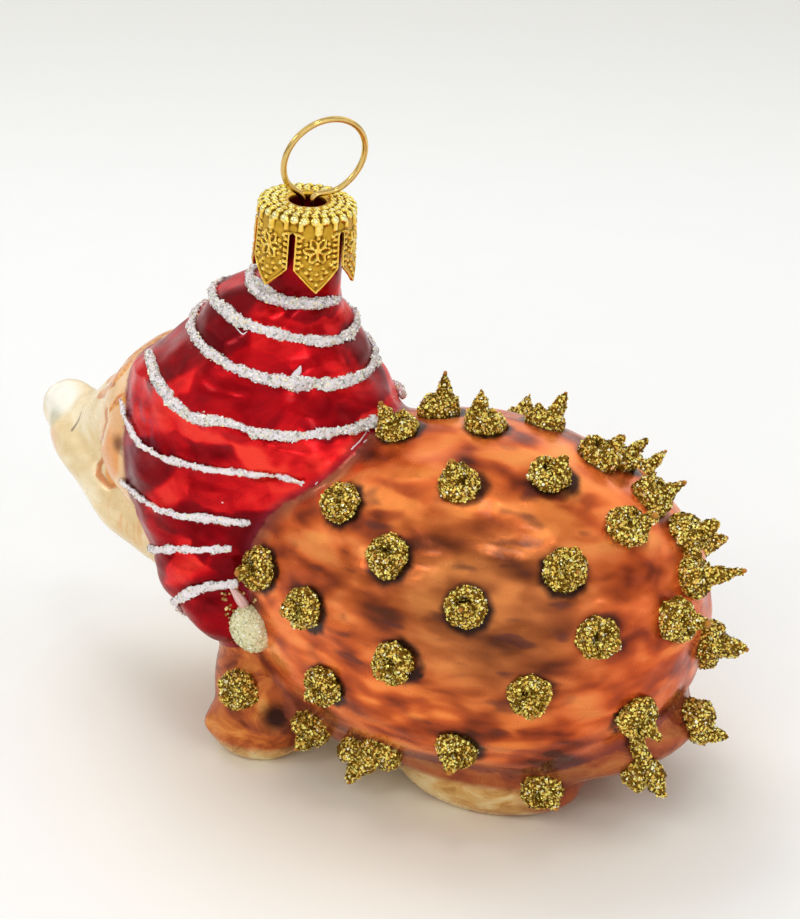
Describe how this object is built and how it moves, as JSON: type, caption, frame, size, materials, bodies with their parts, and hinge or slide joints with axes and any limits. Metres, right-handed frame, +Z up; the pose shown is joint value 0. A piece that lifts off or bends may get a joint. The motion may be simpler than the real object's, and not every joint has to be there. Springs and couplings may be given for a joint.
{
  "type": "glass hedgehog ornament",
  "caption": "Blown-glass hedgehog ornament in a tall striped hat, with spikes of gold glitter glue, a stamped crown cap and a wire hanging ring; it stands on flat paw soles.",
  "frame": {"origin": "middle of the overall outline, on the plane that the paws stand on", "axes": "+X from the nose towards the rump, +Y away from the side that the hat's tail hangs down, +Z up"},
  "size_m": [0.096, 0.0494, 0.0756],
  "materials": {
    "silvered_glass": "gloss lacquer over silvering",
    "gold_sheet": "stamped, bright gold",
    "gold_wire": "bright gold",
    "white_glitter": "glitter",
    "cream_glitter": "fine glitter",
    "gold_glitter": "coarse glitter"
  },
  "bodies": {
    "glass": {"glass_body": "silvered_glass", "hat_stripe_1": "white_glitter", "hat_stripe_2": "white_glitter", "hat_stripe_3": "white_glitter", "hat_stripe_4": "white_glitter", "hat_stripe_5": "white_glitter", "hat_stripe_6": "white_glitter", "hat_stripe_7": "white_glitter", "hat_stripe_8": "white_glitter", "hat_stripe_9": "white_glitter", "hat_pompom": "cream_glitter", "gold_spike_1": "gold_glitter", "gold_spike_2": "gold_glitter", "gold_spike_3": "gold_glitter", "gold_spike_4": "gold_glitter", "gold_spike_5": "gold_glitter", "gold_spike_6": "gold_glitter", "gold_spike_7": "gold_glitter", "gold_spike_8": "gold_glitter", "gold_spike_9": "gold_glitter", "gold_spike_10": "gold_glitter", "gold_spike_11": "gold_glitter", "gold_spike_12": "gold_glitter", "gold_spike_13": "gold_glitter", "gold_spike_14": "gold_glitter", "gold_spike_15": "gold_glitter", "gold_spike_16": "gold_glitter", "gold_spike_17": "gold_glitter", "gold_spike_18": "gold_glitter", "gold_spike_19": "gold_glitter", "gold_spike_20": "gold_glitter", "gold_spike_21": "gold_glitter", "gold_spike_22": "gold_glitter", "gold_spike_23": "gold_glitter", "gold_spike_24": "gold_glitter", "gold_spike_25": "gold_glitter", "gold_spike_26": "gold_glitter", "gold_spike_27": "gold_glitter", "gold_spike_28": "gold_glitter", "gold_spike_29": "gold_glitter", "gold_spike_30": "gold_glitter", "gold_spike_31": "gold_glitter", "gold_spike_32": "gold_glitter", "gold_spike_33": "gold_glitter", "gold_spike_34": "gold_glitter", "gold_spike_35": "gold_glitter", "gold_spike_36": "gold_glitter", "gold_spike_37": "gold_glitter", "gold_spike_38": "gold_glitter", "gold_spike_39": "gold_glitter", "gold_spike_40": "gold_glitter", "gold_spike_41": "gold_glitter", "gold_spike_42": "gold_glitter", "gold_spike_43": "gold_glitter", "gold_spike_44": "gold_glitter", "gold_spike_45": "gold_glitter"},
    "cap": {"crown_cap": "gold_sheet"},
    "hanger": {"wire_hanger": "gold_wire"}
  },
  "joints": [
    {"name": "cap_lift", "type": "slide", "parent": "glass", "child": "cap", "axis": [0.0872, 0, 0.9962], "range_m": [0, 0.012]},
    {"name": "ring_swivel", "type": "hinge", "parent": "cap", "child": "hanger", "pos_m": [-0.00553, 0.00002, 0.06536], "axis": [0.0872, 0, 0.9962], "continuous": true}
  ]
}
